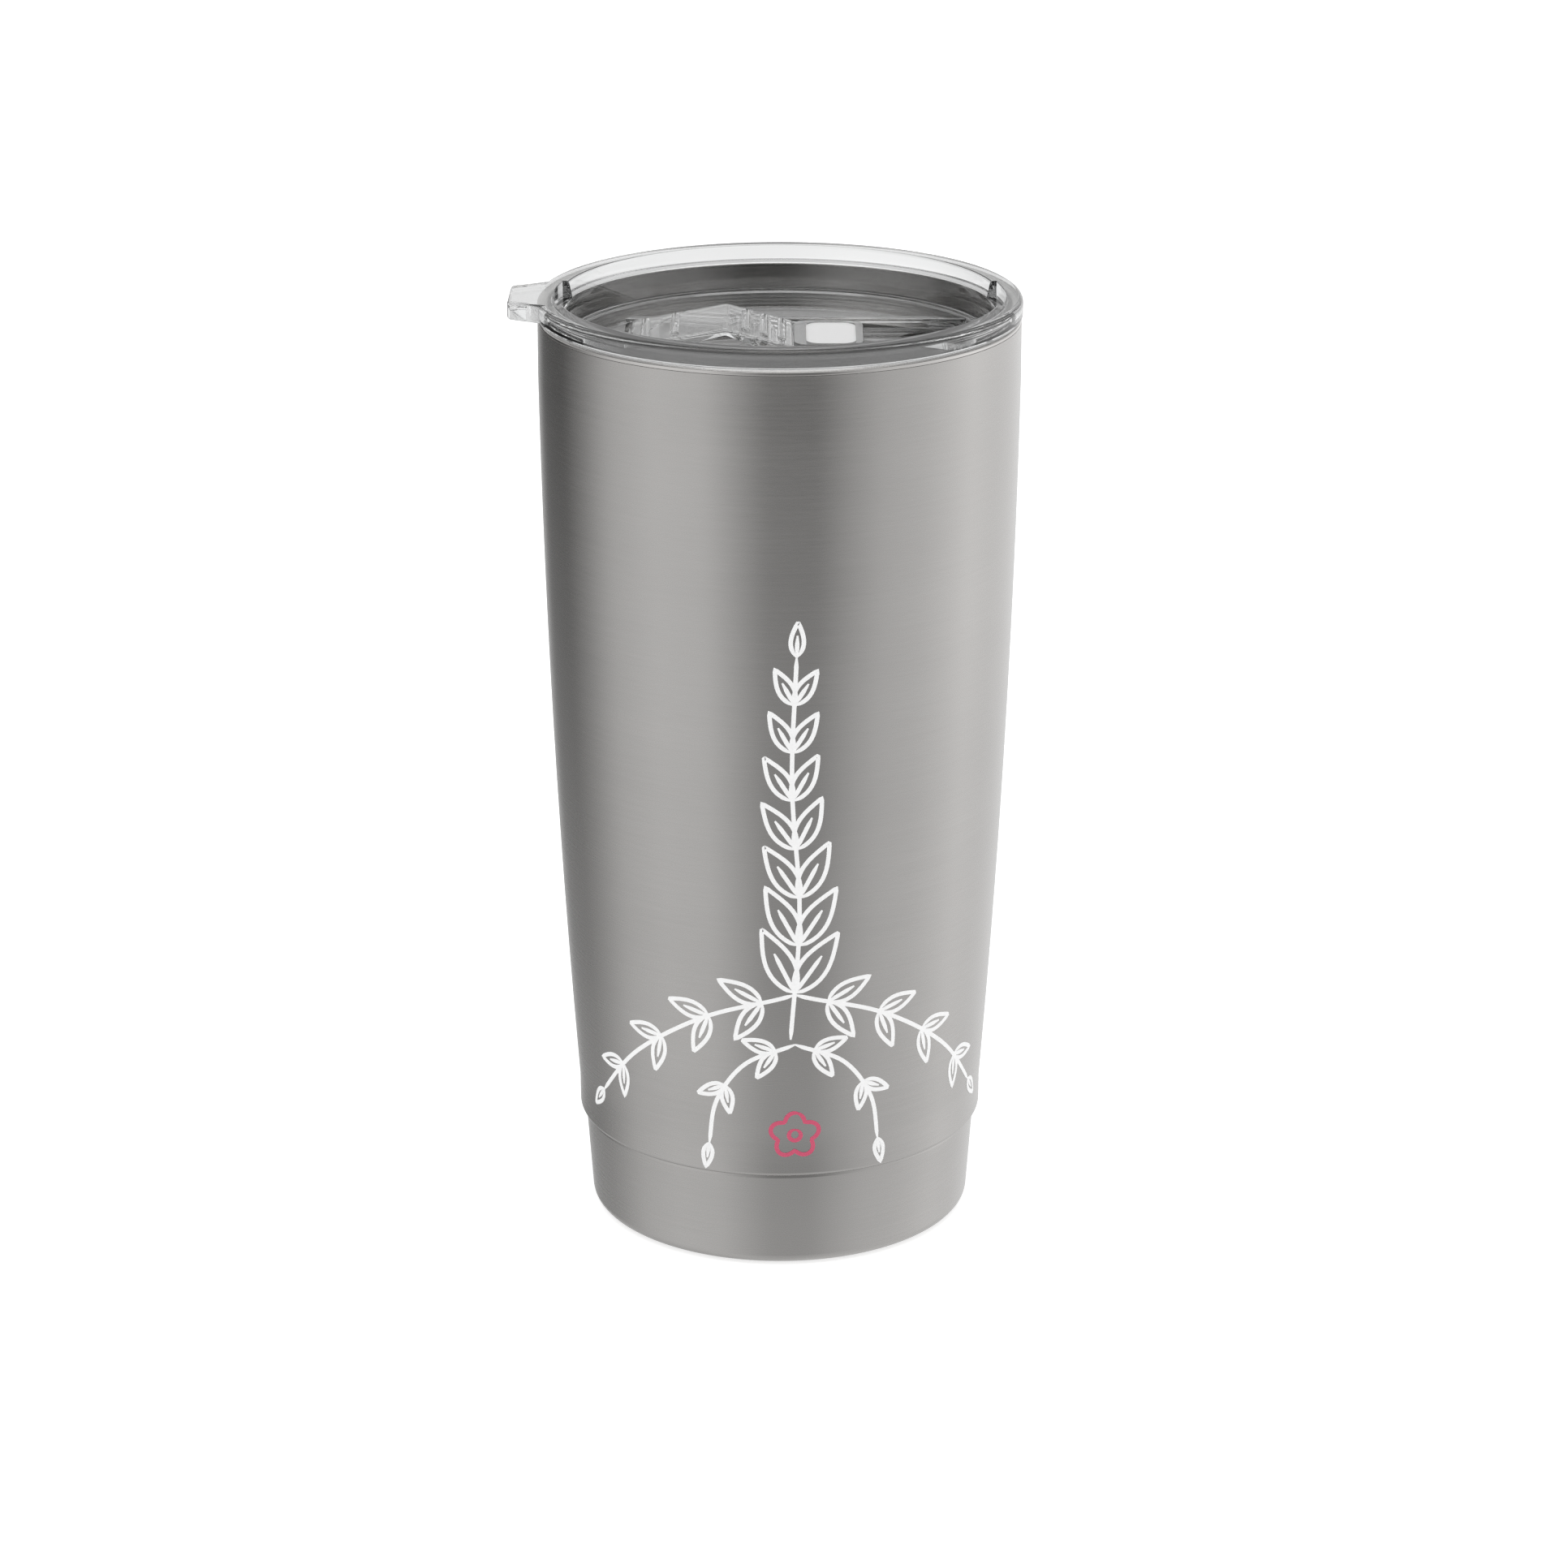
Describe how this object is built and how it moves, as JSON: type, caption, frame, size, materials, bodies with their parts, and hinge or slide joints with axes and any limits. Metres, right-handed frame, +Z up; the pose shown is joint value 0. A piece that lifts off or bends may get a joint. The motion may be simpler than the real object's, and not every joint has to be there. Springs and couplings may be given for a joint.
{
  "type": "insulated tumbler",
  "caption": "Double-wall vacuum-insulated steel drinking tumbler with a stepped base, a clear push-in lid with a lift tab, and a sliding closure over the drink opening.",
  "frame": {"origin": "centre of the flat base that the tumbler rests on", "axes": "+Z up along the cup's axis; the lid's lift tab points to -X, its drink opening is towards +X, and the decorated front faces -Y"},
  "size_m": [0.0929, 0.088, 0.1763],
  "materials": {
    "brushed_shell": "satin, brushed round the body",
    "brushed_liner": "satin, brushed round the bore",
    "polished_lip": "polished",
    "polished_base": "semi-polished",
    "plain_steel": "rolled",
    "sealing_glass": "fused bead",
    "getter_grey": "sintered",
    "copper_foil": "bright foil, copper",
    "clear_lid": "clear, glossy",
    "clear_silicone": "translucent, satin",
    "clear_slider": "clear, glossy",
    "print_white": "printed ink",
    "print_pink": "printed ink"
  },
  "bodies": {
    "cup": {"outer_shell": "brushed_shell", "inner_liner": "brushed_liner", "mouth_lip": "polished_lip", "base_cap": "polished_base", "vacuum_base": "plain_steel", "vacuum_seal_bead": "sealing_glass", "getter_holder": "plain_steel", "getter_pellet": "getter_grey", "heat_shield_foil": "copper_foil"},
    "lid": {"lid_body": "clear_lid", "lid_gasket": "clear_silicone"},
    "slider": {"slider": "clear_slider"}
  },
  "joints": [
    {"name": "lid_lift", "type": "slide", "parent": "cup", "child": "lid", "axis": [0, 0, 1], "range_m": [0, 0.04]},
    {"name": "slider_slide", "type": "slide", "parent": "lid", "child": "slider", "axis": [1, 0, 0], "range_m": [0, 0.0185]}
  ]
}
